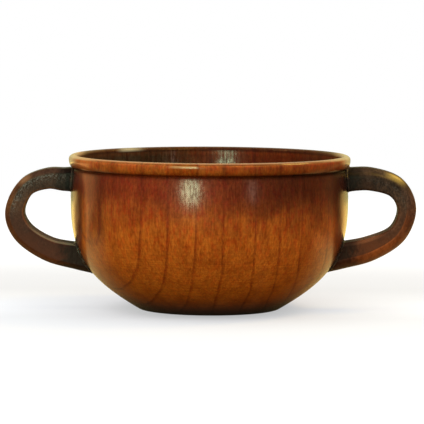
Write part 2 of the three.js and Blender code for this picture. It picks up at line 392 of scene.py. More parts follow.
def blended(share, first, second, blend="MIX"):
    """Two colours mixed by a share, each given as red, green and blue or out of a node."""
    colours = [colour if linked(colour) else (*colour, 1) for colour in (first, second)]
    tree = next(value.id_data for value in (share, *colours) if linked(value))
    inputs = {0: share, 6: colours[0], 7: colours[1]}
    return node(tree, "ShaderNodeMix", inputs, data_type="RGBA", blend_type=blend).outputs[2]


def stained(wood, share, stain):
    """Wood with a share of a stain, which darkens or lightens each of its colours."""
    return blended(share, wood, stain, "MULTIPLY")


def covered(wood, share, colour):
    """Wood taken to another colour by a share."""
    return blended(share, wood, colour)


def stretched_noise(place, width, length, detail=3.0, roughness=0.55):
    """Noise from 0 to 1. Its width across the fibres and its length along them, which run along Z, are in
    millimetres."""
    across, along = 1 / (width * MM), 1 / (length * MM)
    scaled = vector_calc("MULTIPLY", place, (across, across, along))
    inputs = {"Vector": scaled, "Scale": 1.0, "Detail": detail, "Roughness": roughness}
    return node(place.id_data, "ShaderNodeTexNoise", inputs).outputs["Fac"]


def wood_figure():
    """Ring lines from a running count of the rings, and the fibres, pores, mottling and clouds between."""
    tree, given, result = new_group(
        "Wood figure",
        "Shader",
        {"Place": "Vector", "Ring count": "Float", "Line width": "Float"},
        {name: "Float" for name in ("Ring line", "Fibre", "Pore", "Mottle", "Cloud")},
    )
    place = given["Place"]
    line_width = given["Line width"]
    wander = ramp(stretched_noise(place, 12, 40, detail=1), 0.25, 0.75, -0.05, 0.05)
    ragged = ramp(stretched_noise(place, 0.7, 1.6, detail=2), 0.25, 0.75, -0.012, 0.012)
    past_line = calc("FRACT", calc("ADD", calc("ADD", given["Ring count"], wander), ragged))
    soft_side = ramp(calc("DIVIDE", past_line, line_width), 0, 1, 1, 0)
    sharp_side = ramp(calc("DIVIDE", rest(past_line), line_width), 0, 0.4, 1, 0)
    worn = ramp(stretched_noise(place, 4, 6), 0.3, 0.6, 0.55, 1)
    pores = stretched_noise(place, 0.4, 2.5, detail=1)
    fill_inputs(
        result,
        {
            "Ring line": product(calc("MAXIMUM", soft_side, sharp_side), worn),
            "Fibre": stretched_noise(place, 0.5, 9, detail=4),
            "Pore": ramp(pores, 0.58, 0.72),
            "Mottle": stretched_noise(place, 0.9, 1.5, detail=2),
            "Cloud": stretched_noise(place, 5, 14, detail=4, roughness=0.6),
        },
    )
    return tree


wood_figure_group = wood_figure()


def figure_of(place, ring_count, line_width):
    """What the wood's figure shows at a place."""
    inputs = {"Place": place, "Ring count": ring_count, "Line width": line_width}
    return node(place.id_data, "ShaderNodeGroup", inputs, node_tree=wood_figure_group).outputs


def seat_shade():
    """How near a place is to one of the four seats, where glue and stain have darkened the wood and painted
    shade darkens the corner between bar and wall. The seats on both sides stand nearly alike, so it works on
    one quarter of the cup."""
    tree, given, result = new_group(
        "Seat shade", "Shader", {"Place": "Vector", "Reach": "Float"}, {"Shade": "Float"}
    )
    quarter = vector_calc("ABSOLUTE", given["Place"])
    ragged = uneven(stretched_noise(given["Place"], 2, 3), -0.2, 0.2)
    shades = []
    for seat in ("upper", "lower"):
        low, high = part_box(f"glue_bead_right_{seat}")
        apart = vector_calc("ABSOLUTE", vector_calc("SUBTRACT", quarter, (low + high) / 2))
        past = vector_calc("MAXIMUM", vector_calc("SUBTRACT", apart, (high - low) / 2))
        distance = calc("DIVIDE", vector_calc("LENGTH", past), given["Reach"])
        shades.append(ramp(calc("ADD", distance, ragged), 0, 1, 1, 0))
    fill_inputs(result, {"Shade": calc("MAXIMUM", *shades)})
    return tree


seat_shade_group = seat_shade()


def shade_near_seats(place, reach):
    """How near a place is to a seat, as a share of the shade's reach."""
    inputs = {"Place": place, "Reach": reach}
    return node(place.id_data, "ShaderNodeGroup", inputs, node_tree=seat_shade_group).outputs["Shade"]


# The block was cut away from the heart of the tree, which lies upright to the left of the bowl and in
# front of it. Each ring is given by its radius round that heart, in millimetres.
heart_of_tree = (-124 * MM, -70.5 * MM, 0)
ring_radii = (66, 77, 87.3, 99.2, 108.6, 119.5, 130.5, 142.8, 153.1, 163, 176, 187, 198, 209)


def ring_count(place):
    """How many rings lie between the first ring and a place."""
    tree = place.id_data
    radii = [radius * MM for radius in ring_radii]
    span = radii[-1] - radii[0]
    last_ring = len(radii) - 1
    from_heart = vector_calc("MULTIPLY", vector_calc("SUBTRACT", place, heart_of_tree), (1, 1, 0))
    limits = {0: vector_calc("LENGTH", from_heart), 1: radii[0], 2: radii[-1]}
    share = node(tree, "ShaderNodeMapRange", limits).outputs[0]
    growth = node(tree, "ShaderNodeFloatCurve", {"Value": share})
    line = growth.mapping.curves[0]
    for ring, radius in enumerate(radii[1:-1], start=1):
        line.points.new((radius - radii[0]) / span, ring / last_ring)
    for point in line.points:
        point.handle_type = "VECTOR"
    growth.mapping.update()
    return product(growth.outputs[0], last_ring)


def new_finish(name):
    """A new material, its shader, and the place of each point that it covers."""
    material = bpy.data.materials.new(name)
    material.use_nodes = True
    tree = material.node_tree
    return material, tree.nodes["Principled BSDF"], node(tree, "ShaderNodeTexCoord").outputs["Object"]


def mark_of(place, name):
    """The value that the mesh keeps under a name."""
    return node(place.id_data, "ShaderNodeAttribute", attribute_name=name).outputs["Fac"]


def bumped(height, strength, depth):
    """Normals bent by a height, whose depth is in millimetres."""
    inputs = {"Strength": strength, "Distance": depth * MM, "Height": height}
    return node(height.id_data, "ShaderNodeBump", inputs).outputs[0]


bead_shade_height = 2.6 * MM
bead_shade_tone = 0.62
bead_polish = 0.7


def bowl_zones(place):
    """The parts of the bowl's surface as shares from 0 to 1, with a place's distances along the axes."""
    x, y, z = axes(place)
    away = calc("ABSOLUTE", x)
    lining = mark_of(place, "lining")
    outside = rest(lining)
    wall = product(outside, ramp(z, bead_foot_height, bead_foot_height + bead_underside / 3, 1, 0))
    on_bead = calc("SUBTRACT", outside, wall)
    polished_bead = product(between(x, -17.5, -13), between(x, -5.5, -4, on_bead, 0))
    return SimpleNamespace(
        x=x,
        y=y,
        z=z,
        away=away,
        lining=lining,
        outside=outside,
        wall=wall,
        on_bead=on_bead,
        # Towards the bead's underside the wood is darkened by painted shade.
        bead_underside_shade=ramp(z, bead_foot_height, bead_foot_height + bead_shade_height, bead_shade_tone, 1),
        in_groove=product(ramp(z, neck_height - 1.5 * groove_width, neck_height + groove_width / 2), wall),
        polished_bead=polished_bead,
        unpolished=rest(product(polished_bead, bead_polish)),
        back_lip=product(between(y, -3, 15), between(away, 50, 55, 1, 0), near_lip(z, 2.5, 1.2)),
    )


def turned_wood(place, at, seen):
    """The wood off the lathe: its grain, red flecks, mottling and pores, and tool marks low down."""
    dark_wood = (0.27, 0.05, 0.002)
    light_wood = (0.46, 0.108, 0.007)
    red_fleck = (1.05, 0.72, 0.5)
    pore_stain = (0.6, 0.5, 0.4)
    grain = weighed(seen["Fibre"], 0.5, seen["Cloud"])
    wood = blended(ramp(grain, 0.34, 0.66), dark_wood, light_wood)
    flecks = ramp(stretched_noise(place, 1.6, 3.5), 0.45, 0.65)
    wood = stained(wood, product(flecks, between(at.z, 15, 45, 0.45, 1)), red_fleck)
    wood = stained(wood, 1.0, uneven(seen["Mottle"], 0.84, 1.18))
    tool_marks = uneven(stretched_noise(place, 30, 0.45, detail=2), 0.9, 1.1)
    wood = stained(wood, between(at.z, 20, 40, 1, 0.2), tool_marks)
    return stained(wood, product(seen["Pore"], 0.4), pore_stain)


def stained_and_shaded_wall(wood, place, at, seen):
    """The outside: its ring lines, stain that deepens towards the groove, and painted shade in the groove,
    by the handles and towards the foot, with a painted reflection beside the left handle and a painted haze
    and shadow at the foot.
    """
    line_stain = (0.6, 0.46, 0.38)
    neck_stain_left = (0.5, 0.3, 0.24)
    neck_stain_right = (0.17, 0.13, 0.12)
    left_stain = (0.52, 0.5, 0.45)
    right_stain_and_shade = (0.5, 0.42, 0.3)
    painted_shade_by_handle = (0.5, 0.42, 0.35)
    painted_reflection_by_handle = (1.5, 1.7, 2.2)
    unshaded = (1, 1, 1)
    groove_shade = (0.5, 0.5, 0.5)
    foot_shade_and_haze = (0.6, 0.63, 3.2)
    foot_shadow = (0.048, 0.032, 0.026)

    blotches = uneven(stretched_noise(place, 9, 11), -6 * MM, 6 * MM)
    stain_start = calc("ADD", between(at.x, -50, 50, 37 * MM, 27 * MM), blotches)
    stain_end = 52 * MM
    at_neck = product(ramp(at.z, stain_start, stain_end), at.wall)
    veiled = calc("MAXIMUM", product(at_neck, 0.6), product(at.on_bead, 0.2))
    wood = stained(wood, product(seen["Ring line"], rest(veiled)), line_stain)
    wood = stained(wood, at_neck, blended(between(at.x, -15, 38), neck_stain_left, neck_stain_right))
    at_left = product(between(at.x, -44, -37.5, 1, 0), at.wall, between(at.z, 20, 41))
    wood = stained(wood, at_left, left_stain)
    # Painted shade where the left handle blocks the light, and beside it a painted reflection in the
    # lacquer.
    by_handle = product(between(at.x, -49.8, -47.8, 1, 0), at.wall, between(at.z, 22, 30))
    handle_shadow = blended(between(at.z, 43, 49), painted_shade_by_handle, unshaded)
    handle_shade_and_reflection = blended(between(at.x, -51.8, -50.4), handle_shadow, painted_reflection_by_handle)
    wood = stained(wood, by_handle, handle_shade_and_reflection)
    # Painted shade where the right handle blocks the light.
    wood = stained(wood, product(between(at.x, 47.5, 51.5), at.wall), right_stain_and_shade)
    # Painted shade in the groove under the bead.
    wood = stained(wood, at.in_groove, groove_shade)
    # Painted shade towards the foot, with a painted bluish haze of the table's reflection.
    wood = stained(wood, between(at.z, 0, 12, 1, 0), foot_shade_and_haze)
    # A painted shadow where the foot meets the table.
    return covered(wood, between(at.z, 0, 7.5, 0.95, 0), foot_shadow)


def stained_inside(wood, at):
    """The inside, darker towards the mouth, greyer on the left and redder on the right."""
    floor_stain = (0.8, 0.7, 0.6)
    far_left_stain = (0.09, 0.23, 1.6)
    left_stain = (0.16, 0.28, 1.3)
    right_stain_and_shade = (0.28, 0.2, 0.18)
    far_right_stain = (0.15, 0.12, 0.12)
    left_side = blended(between(at.x, -25, -12), far_left_stain, left_stain)
    right_side = blended(between(at.x, 26, 45), right_stain_and_shade, far_right_stain)
    mouth_stain = blended(between(at.x, -14, 4), left_side, right_side)
    return stained(wood, at.lining, blended(between(at.z, 10, 50), floor_stain, mouth_stain))


def rim_wear_and_glints(wood, at):
    """The bead and the lip: stained on the bead with painted shade under it, a painted glint on a band in
    front, a pale line along the lip of bare wood and a painted highlight, painted reflections at the two
    ends, and darker at the back with one painted reflection."""
    bead_stain_left = (0.78, 0.8, 0.95)
    bead_stain_right = (0.56, 0.49, 0.48)
    bead_glint_colour = (0.66, 0.42, 0.16)
    lip_shade = (0.62, 0.85, 0.95)
    lip_bare_and_highlight = (0.31, 0.23, 0.125)
    end_reflection = (0.5, 0.42, 0.2)
    back_darkening = (0.32, 0.34, 0.36)
    back_reflection = (0.3, 0.26, 0.16)

    bead_stain = blended(between(at.x, -25, 35), bead_stain_left, bead_stain_right)
    # The bead's stain, with painted shade towards its underside.
    wood = stained(wood, at.on_bead, stained(bead_stain, 1.0, at.bead_underside_shade))
    # A painted glint on the bead in front, over its polished patch.
    bead_glint = product(near_lip(at.z, 2.3, 1.6, 0, 0.4), near_lip(at.z, 1.3, 0.9, at.polished_bead, 0))
    wood = covered(wood, product(bead_glint, between(at.y, -5, 5, 1, 0)), bead_glint_colour)
    lip_ends = between(at.away, 40, 55)
    lip_front = rest(lip_ends)
    below_lip = product(near_lip(at.z, 1.1, 0.75), near_lip(at.z, 0.6, 0.3, at.outside, 0))
    wood = stained(wood, product(below_lip, lip_front), lip_shade)
    # A pale line along the front of the lip: bare wood and a painted highlight.
    lip_line = product(near_lip(at.z, 0.55, 0.15, 0, 0.6), at.outside)
    wood = covered(wood, product(lip_line, lip_front), lip_bare_and_highlight)
    # Painted reflections of the backdrop at the two ends of the lip and the bead.
    wood = covered(wood, product(near_lip(at.z, 1.1, 0.4), at.outside, lip_ends, 0.5), end_reflection)
    up_bead = ramp(at.z, bead_foot_height, cup_height - 1.5 * MM)
    wood = covered(wood, product(between(at.away, 52.5, 57.3, 0, 0.7), up_bead, at.outside), end_reflection)
    wood = stained(wood, at.back_lip, back_darkening)
    # A painted reflection on the inner side of the back lip, on the left.
    reflection_sides = product(between(at.x, -40, -35), between(at.x, -34, -26, 0.75, 0))
    return covered(wood, product(at.back_lip, near_lip(at.z, 1.9, 1.1, 0, reflection_sides)), back_reflection)


def bowl_lacquer(place, at, seen):
    """The share of gloss: streaked, least in front, dull in the groove, under the bead and on the lip."""
    under_bead = product(at.on_bead, ramp(at.bead_underside_shade, bead_shade_tone, 1, 0.8, 0))
    front_lip = product(near_lip(at.z, 2.2, 1.6, 0, 0.75), between(at.x, 26, 31, 1, 0.5))
    lip = calc("MAXIMUM", product(front_lip, at.outside, at.unpolished), product(at.back_lip, 0.8))
    dull = calc("MAXIMUM", calc("MAXIMUM", at.in_groove, under_bead), lip)
    least = calc("MAXIMUM", between(at.away, 35, 48, 0.3, 1), at.on_bead)
    outer_streaks = ramp(weighed(seen["Fibre"], 0.6, seen["Mottle"]), 0.4, 0.58, least, 1)
    inner_streaks = ramp(stretched_noise(place, 0.5, 14, detail=2), 0.36, 0.62, 0.15, 1)
    return product(outer_streaks, rest(dull), ramp(at.lining, 0, 1, 1, inner_streaks))


def stained_ring_wood():
    """Reddish-brown stained wood with dark upright ring lines, under a clear lacquer, with painted shade,
    highlights and reflections in places.
    """
    seat_stain_and_shade = (0.16, 0.15, 0.16)
    seat_reach = 10 * MM
    material, shader, place = new_finish("stained_ring_wood")
    at = bowl_zones(place)
    seen = figure_of(place, ring_count(place), between(at.x, -42, -30, 0.06, 0.12))
    wood = stained_and_shaded_wall(turned_wood(place, at, seen), place, at, seen)
    wood = rim_wear_and_glints(stained_inside(wood, at), at)
    # Glue stain round the seats, with painted shade in the corners by the handles.
    near_seat = product(shade_near_seats(place, seat_reach), at.wall)
    fill_inputs(
        shader,
        {
            "Base Color": stained(wood, near_seat, seat_stain_and_shade),
            "Roughness": product(uneven(seen["Fibre"], 0.3, 0.44), at.unpolished),
            "Specular IOR Level": 0.1,
            "Coat Weight": bowl_lacquer(place, at, seen),
            "Coat Roughness": 0.18,
            "Normal": bumped(seen["Fibre"], 0.35, 0.05),
        },
    )
    return material


bowl_finish = stained_ring_wood()
outer_line = [*underside, *outside_points(grooved=True)]
inner_line = inside_points()
lining_starts = 8
lining_marks = [0.0] * len(outer_line) + [min(1.0, step / lining_starts) for step in range(len(inner_line))]
bowl_profile = drawn_line("bowl_profile", [*outer_line, *inner_line], radii=lining_marks)
lathe_tree = lathe()
bowl_steps_around = 224
bowl = made_with(
    "bowl_turned",
    turned_bowl(),
    {"Profile": bowl_profile, "Steps around": bowl_steps_around, "Drills": peg_drills, "Wood": bowl_finish},
)
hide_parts("bowl")
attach(bowl, "root")

# Handles
# Two curved bars sawn from a board of darker wood, one shaped a little differently from the other. Their
# outer edges are bevelled or rounded over, their inner edges only eased, and both ends are coped to the
# wall, pegged and glued.

handle_width = 12.5 * MM
round_fullness = 0.55
flat_before_edge = 0.25 * MM
mean_thickness = 9 * MM
root_depth = 10 * MM
glue_line = 0.3 * MM
steps_along_handle = 96

# Each station of a bar's course, from its upper to its lower seat: how far it has gone out, fallen and
# slimmed, as shares of its reach, of the height between its seats and of its loss of thickness. A seat has
# its height and the bar's thickness there.
handle_shapes = {
    "left": {
        "side": -1,
        "reach": 22.75 * MM,
        "outer_edge": 2.1 * MM,
        "outer_fullness": 0.25,
        "inner_edge": 0.6 * MM,
        "rubbed": 0.9,
        "crease": 0.5,
        "inner_rubbed": 0.8,
        "upper": (cup_height - 10.2 * MM, 9.5 * MM),
        "lower": (cup_height - 42.1 * MM, 10.6 * MM),
        "slim": 7.5 * MM,
        "course": [
            (0.11, 0, 0.2),
            (0.4, -0.01, 0.65),
            (0.79, 0.1, 1),
            (1, 0.42, 0.85),
            (0.87, 0.67, 0.68),
            (0.4, 0.9, 0.42),
        ],
    },
    "right": {
        "side": 1,
        "reach": 23.95 * MM,
        "outer_edge": 4.0 * MM,
        "outer_fullness": 0.5,
        "inner_edge": 1.2 * MM,
        "rubbed": 0.55,
        "crease": 1.0,
        "inner_rubbed": 0.1,
        "upper": (cup_height - 9.8 * MM, 9.6 * MM),
        "lower": (cup_height - 41.3 * MM, 10.8 * MM),
        "slim": 7.6 * MM,
        "course": [
            (0.1, -0.01, 0.1),
            (0.38, -0.01, 0.2),
            (0.815, 0.1, 0.5),
            (1, 0.37, 1),
            (0.85, 0.695, 0.97),
            (0.38, 0.9, 0.34),
        ],
    },
}


def wall_radius(height):
    """The outside's radius at a height."""
    points = outside_points(grooved=True)
    for below, above in zip(points, points[1:]):
        if below.y <= height <= above.y and below.y < above.y:
            return below.x + (above.x - below.x) * (height - below.y) / (above.y - below.y)
    raise ValueError("the wall doesn't reach that height")


def through_stations(stations, steps):
    """A smooth line through stations in a drawing, eased by the square root of their spacing."""
    ends = [2 * stations[0] - stations[1], *stations, 2 * stations[-1] - stations[-2]]
    points = []
    for step in range(steps + 1):
        along = step / steps * (len(stations) - 1)
        first = min(int(along), len(stations) - 2)
        t = along - first
        before, start, end, after = ends[first : first + 4]
        pairs = ((before, start), (start, end), (end, after))
        gap_in, gap, gap_out = ((b - a).length ** 0.5 for a, b in pairs)
        leaving = gap * ((start - before) / gap_in - (end - before) / (gap_in + gap) + (end - start) / gap)
        arriving = gap * ((end - start) / gap - (after - start) / (gap + gap_out) + (after - end) / gap_out)
        points.append(
            (2 * t**3 - 3 * t**2 + 1) * start
            + (t**3 - 2 * t**2 + t) * leaving
            + (3 * t**2 - 2 * t**3) * end
            + (t**3 - t**2) * arriving
        )
    return points


def bar_course(name, shape):
    """A bar's centreline drawn with x outwards and y up, its half thickness kept as the radius at each
    point. It is drawn so that the bar's outer side is on its left."""
    (upper_height, upper_thick), (lower_height, lower_thick) = shape["upper"], shape["lower"]
    upper_seat = Vector((wall_radius(upper_height), upper_height, upper_thick))
    lower_seat = Vector((wall_radius(lower_height), lower_height, lower_thick))
    bowl_side = max(belly_radius, upper_seat.x)
    stations = [upper_seat]
    for out, fall, slim in shape["course"]:
        seat_thick = upper_thick if fall < 0.5 else lower_thick
        height = upper_height + (lower_height - upper_height) * fall
        thick = seat_thick + (shape["slim"] - seat_thick) * slim
        stations.append(Vector((bowl_side + shape["reach"] * out, height, thick)))
    stations.append(lower_seat)
    line = through_stations(stations, steps_along_handle)
    for end, neighbour, place in ((line[0], line[1], 0), (line[-1], line[-2], len(line) + 1)):
        straight_on = (end - neighbour).xy.normalized() * root_depth
        line.insert(place, end + straight_on.to_3d())
    if shape["side"] < 0:
        line.reverse()
    places = [(shape["side"] * point.x, point.y) for point in line]
    return drawn_line(name, places, radii=[point.z / 2 for point in line])


def bar_section(name, shape):
    """A bar's section: x from its outer to its inner side, y across its width. Its outer edges are bevelled
    or rounded over and its inner edges only eased. How far each is rubbed is kept as its points' radius, and
    the outer crease's mark on the right bar also paints a highlight there."""
    half_thick, half_wide = mean_thickness / 2, handle_width / 2
    points = []
    marks = []
    for x_side, y_side in ((1, 1), (-1, 1), (-1, -1), (1, -1)):
        outer = x_side < 0
        edge = shape["outer_edge"] if outer else shape["inner_edge"]
        fullness = shape["outer_fullness"] if outer else round_fullness
        corner = Vector((x_side * half_thick, y_side * half_wide))
        on_side = corner - Vector((0, y_side * edge))
        on_face = corner - Vector((x_side * edge, 0))
        start, end = (on_side, on_face) if x_side == y_side else (on_face, on_side)
        round_edge = bend(start, start.lerp(corner, fullness), end.lerp(corner, fullness), end, steps=12)
        before = start + (start - corner).normalized() * flat_before_edge
        after = end + (end - corner).normalized() * flat_before_edge
        points += [before, *round_edge, after]
        rubbed = [shape["rubbed"] if outer else shape["inner_rubbed"]] * len(round_edge)
        # The crease between the outer edge and the face has a mark of its own; on the right bar it is higher
        # and paints a highlight along the crease.
        if outer:
            rubbed[0 if start == on_face else -1] = shape["crease"]
        marks += [0.0, *rubbed, 0.0]
    return drawn_line(name, points, radii=marks, closed=True)


bar_inputs = {"Course": "Object", "Section": "Object", "Mean thickness": "Float"}


def sawn_bar():
    """A bar of one section along its course, made thicker or slimmer on the way by its points' radius."""
    tree, given, result = new_shape_tree("Sawn bar", bar_inputs)
    drawn = {"Curve": shape_of(given["Course"])}
    level = node(tree, "GeometryNodeSetCurveNormal", drawn, mode="Z_UP").outputs[0]
    radius = node(tree, "GeometryNodeInputRadius").outputs[0]
    gain = calc("SUBTRACT", radius, calc("MULTIPLY", given["Mean thickness"], 0.5))
    inward = node(tree, "GeometryNodeInputNormal").outputs["Normal"]
    growth = node(tree, "ShaderNodeVectorMath", {0: inward, "Scale": gain}, operation="SCALE").outputs[0]
    course = kept(level, "growth", growth, "FLOAT_VECTOR")
    across = axes(node(tree, "GeometryNodeInputPosition").outputs[0])["X"]
    sided = kept(shape_of(given["Section"]), "side", calc("SIGN", across))
    section = kept(sided, "rubbed", node(tree, "GeometryNodeInputRadius").outputs[0])
    sweep = {"Curve": course, "Profile Curve": section, "Fill Caps": True}
    swept = node(tree, "GeometryNodeCurveToMesh", sweep).outputs[0]
    kept_value = "GeometryNodeInputNamedAttribute"
    kept_growth = node(tree, kept_value, {"Name": "growth"}, data_type="FLOAT_VECTOR").outputs[0]
    kept_side = node(tree, kept_value, {"Name": "side"}, data_type="FLOAT").outputs[0]
    thickening = {0: kept_growth, "Scale": kept_side}
    shift = node(tree, "ShaderNodeVectorMath", thickening, operation="SCALE").outputs[0]
    shaped = node(tree, "GeometryNodeSetPosition", {"Geometry": swept, "Offset": shift}).outputs[0]
    stood_up = {"Geometry": merged(shaped), "Rotation": (math.pi / 2, 0, 0)}
    fill_inputs(result, {"Geometry": node(tree, "GeometryNodeTransform", stood_up).outputs[0]})
    return tree


def bar_at_wall(given, solver):
    """The node that copes a sawn bar to the bowl's wall."""
    tree = given["Wall"].id_data
    sawing = {socket: given[socket] for socket in bar_inputs}
    bar = node(tree, "GeometryNodeGroup", sawing, node_tree=sawn_bar_tree).outputs[0]
    turning = {"Profile": given["Wall"], "Steps around": bowl_steps_around}
    wall = node(tree, "GeometryNodeGroup", turning, node_tree=lathe_tree).outputs[0]
    return cut_away(bar, wall, solver)


def coped_handle():
    """A sawn bar coped to the bowl's wall and drilled for its pegs."""
    tree, given, result = new_shape_tree(
        "Coped handle", {**bar_inputs, "Wall": "Object", "Drills": "Object", "Wood": "Material"}
    )
    coped = bar_at_wall(given, "MANIFOLD").outputs[0]
    drilled = cut_away(coped, shape_of(given["Drills"])).outputs[0]
    fill_inputs(result, {"Geometry": finished(drilled, given["Wood"])})
    return tree


dark_bar = (0.03, 0.014, 0.009)


def bar_zones(place):
    """The parts of both bars' surface as shares from 0 to 1, with a place's distances along the axes. The
    side runs from -1 on a bar's outer side to 1 on its inner side."""
    x, y, z = axes(place)
    left = between(x, -10, 10, 1, 0)
    right = rest(left)
    low = between(z, 36, 44, 1, 0)
    left_low = product(left, low)
    side = mark_of(place, "side")
    inner = ramp(side, 0.9, 1)
    return SimpleNamespace(
        x=x,
        y=y,
        z=z,
        across=calc("ABSOLUTE", y),
        left=left,
        right=right,
        left_low=left_low,
        right_low=product(right, low),
        side=side,
        inner=inner,
        left_inner=product(left_low, inner),
        rubbed=mark_of(place, "rubbed"),
    )


def sawn_wood(place, at, grain, patches):
    """Dark wood with a light grain, speckles and redder patches, most of them low down."""
    light_wood = (0.095, 0.044, 0.022)
    red_wood = (0.105, 0.03, 0.009)
    wood = blended(ramp(grain, 0.35, 0.65), dark_bar, light_wood)
    speckle = stretched_noise(place, 0.6, 0.9, detail=2)
    wood = stained(wood, 1.0, ramp(speckle, 0.35, 0.65, 0.65, 1.35))
    reddening = calc("ADD", ramp(patches, 0.4, 0.65, 0, 0.35), between(at.z, 25, 46, 0.6, 0))
    return covered(wood, reddening, red_wood)


def rubbed_and_glinting_edges(wood, at, grain, patches):
    """Wood rubbed lighter along the edges: brown on the left bar, and red on the right, golden high up. On
    the right bar a painted highlight runs along each outer crease.
    """
    left_dark = (0.07, 0.021, 0.003)
    left_light = (0.2, 0.066, 0.009)
    right_dark = (0.15, 0.034, 0.004)
    right_light = (0.34, 0.084, 0.01)
    golden_wood = (0.085, 0.046, 0.008)
    light = uneven(grain, 0, 1)
    high_right = product(at.right, between(at.z, 44, 50))
    golden = product(high_right, ramp(at.across, handle_width / 2, handle_width / 2 - 1 * MM))
    right_wood = blended(high_right, blended(light, right_dark, right_light), golden_wood)
    edge_wood = blended(at.left, right_wood, blended(light, left_dark, left_light))
    left_wear = product(between(at.z, 36, 44, 0.75, 1), between(at.z, 51, 56, 1, 0.1))
    right_wear = calc("MAXIMUM", between(at.z, 36, 43, 1, 0.15), product(golden, 0.7))
    wear = ramp(at.left, 0, 1, right_wear, left_wear)
    return covered(wood, product(at.rubbed, ramp(patches, 0.3, 0.6, 0.4, 1), wear), edge_wood)


def toned_bar(wood, place, at):
    """The bars' tones: a painted glint where the left bar bends, darker above, lighter below by painted
    light, scuffed with a painted sheen on their outer sides, painted highlights on their inner edges low
    down, and a painted gold highlight on the right bar's shoulder."""
    left_glint_place = (-75.7 * MM, 0, 53.6 * MM)
    left_glint_wood = (0.34, 0.15, 0.05)
    upper_darkening = (0.54, 0.51, 0.53)
    underside_painted_light = (1.35, 1.25, 1.15)
    left_low_stain = (0.68, 0.55, 0.62)
    left_inner_highlight = (1.7, 1.75, 1.7)
    right_low_stain = (1.0, 0.88, 0.8)
    right_root_highlight = (1.5, 1.75, 2.1)
    scuff_and_sheen_wood = (0.17, 0.155, 0.13)
    gold_highlight_place = (75.8 * MM, 0, 53.8 * MM)
    gold_highlight = (0.29, 0.18, 0.026)

    flat_place = vector_calc("MULTIPLY", place, (1, 0, 1))
    # A painted glint where the left bar bends.
    from_left_glint = vector_calc("DISTANCE", flat_place, left_glint_place)
    wood = covered(wood, product(between(from_left_glint, 0.5, 4.5, 0.8, 0), at.rubbed), left_glint_wood)
    wood = stained(wood, between(at.z, 43, 52), upper_darkening)
    # Painted light low on the bars, where less light reaches.
    wood = stained(wood, between(at.z, 16, 36, 1, 0), underside_painted_light)
    wood = stained(wood, at.left_low, left_low_stain)
    # A painted highlight along the left bar's lower inner edge.
    wood = stained(wood, at.left_inner, left_inner_highlight)
    wood = stained(wood, at.right_low, right_low_stain)
    # A painted highlight on the right bar's inner edge by its lower root.
    wood = stained(wood, product(at.right_low, between(at.x, 65, 72, 1, 0), at.inner), right_root_highlight)
    # Scuffs with a painted sheen on the outer sides.
    scuffs_and_sheen = ramp(stretched_noise(place, 0.5, 0.5), 0.46, 0.62, 0, 0.6)
    scuffed_and_sheen = product(scuffs_and_sheen, between(at.z, 36, 45), ramp(at.left, 0, 1, 0.25, 1))
    outer_face = product(ramp(at.rubbed, 0, 0.5, 1, 0), ramp(at.side, -0.9, 0.5, 1, 0.1))
    wood = covered(wood, product(scuffed_and_sheen, outer_face), scuff_and_sheen_wood)
    # A painted gold highlight on the right bar's shoulder.
    from_gold_highlight = vector_calc("DISTANCE", flat_place, gold_highlight_place)
    gold_highlight_edge = product(between(at.across, 6.25, 5), between(at.across, 2.6, 4.4))
    return covered(wood, product(between(from_gold_highlight, 0.5, 6.3, 1, 0), gold_highlight_edge), gold_highlight)


def dark_bar_wood():
    """Dark brown stained wood under lacquer, rubbed lighter along its edges and dark at its glued roots,
    with painted highlights, sheen and light in places.
    """
    ring_spacing = 2.6 * MM
    seat_reach = 8 * MM
    root_stain_high = (0.25, 0.21, 0.24)
    root_stain_left = (0.25, 0.33, 0.52)
    inner_edge_highlight = (0.25, 0.2, 0.115)
    material, shader, place = new_finish("dark_bar_wood")
    at = bar_zones(place)
    seen = figure_of(place, calc("DIVIDE", at.y, ring_spacing), 0.3)
    grain = weighed(seen["Mottle"], 0.4, seen["Cloud"])
    patches = stretched_noise(place, 11, 8, detail=2)
    wood = rubbed_and_glinting_edges(sawn_wood(place, at, grain, patches), at, grain, patches)
    wood = covered(toned_bar(wood, place, at), product(seen["Ring line"], 0.2), dark_bar)
    near_seat = shade_near_seats(place, seat_reach)
    wood = stained(wood, near_seat, blended(at.left_low, root_stain_high, root_stain_left))
    # A painted highlight along the left bar's lower inner edge, where the rounded edge catches the light.
    inner_edge_glint = product(at.left_inner, between(at.z, 30, 35.5, 0.65, 0), at.rubbed)
    polish = uneven(seen["Mottle"], 0.35, 0.5)
    edge_gloss = ramp(at.left, 0, 1, between(at.z, 44, 50, 0.45, 0.35), 0.28)
    lacquer = product(ramp(grain, 0.4, 0.6, 0.6, 1), ramp(at.rubbed, 0, 0.5, 0.08, edge_gloss))
    pits = product(seen["Mottle"], ramp(at.rubbed, 0, 0.5, 0.3, 0))
    smears = product(stretched_noise(place, 0.8, 2.2, detail=2), near_seat)
    fill_inputs(
        shader,
        {
            "Base Color": covered(wood, inner_edge_glint, inner_edge_highlight),
            "Roughness": calc("ADD", polish, ramp(at.side, 0.5, 1, 0, 0.2)),
            "Specular IOR Level": 0.15,
            "Coat Weight": lacquer,
            "Coat Roughness": 0.29,
            "Normal": bumped(calc("ADD", pits, smears), 0.5, 0.25),
        },
    )
    return material


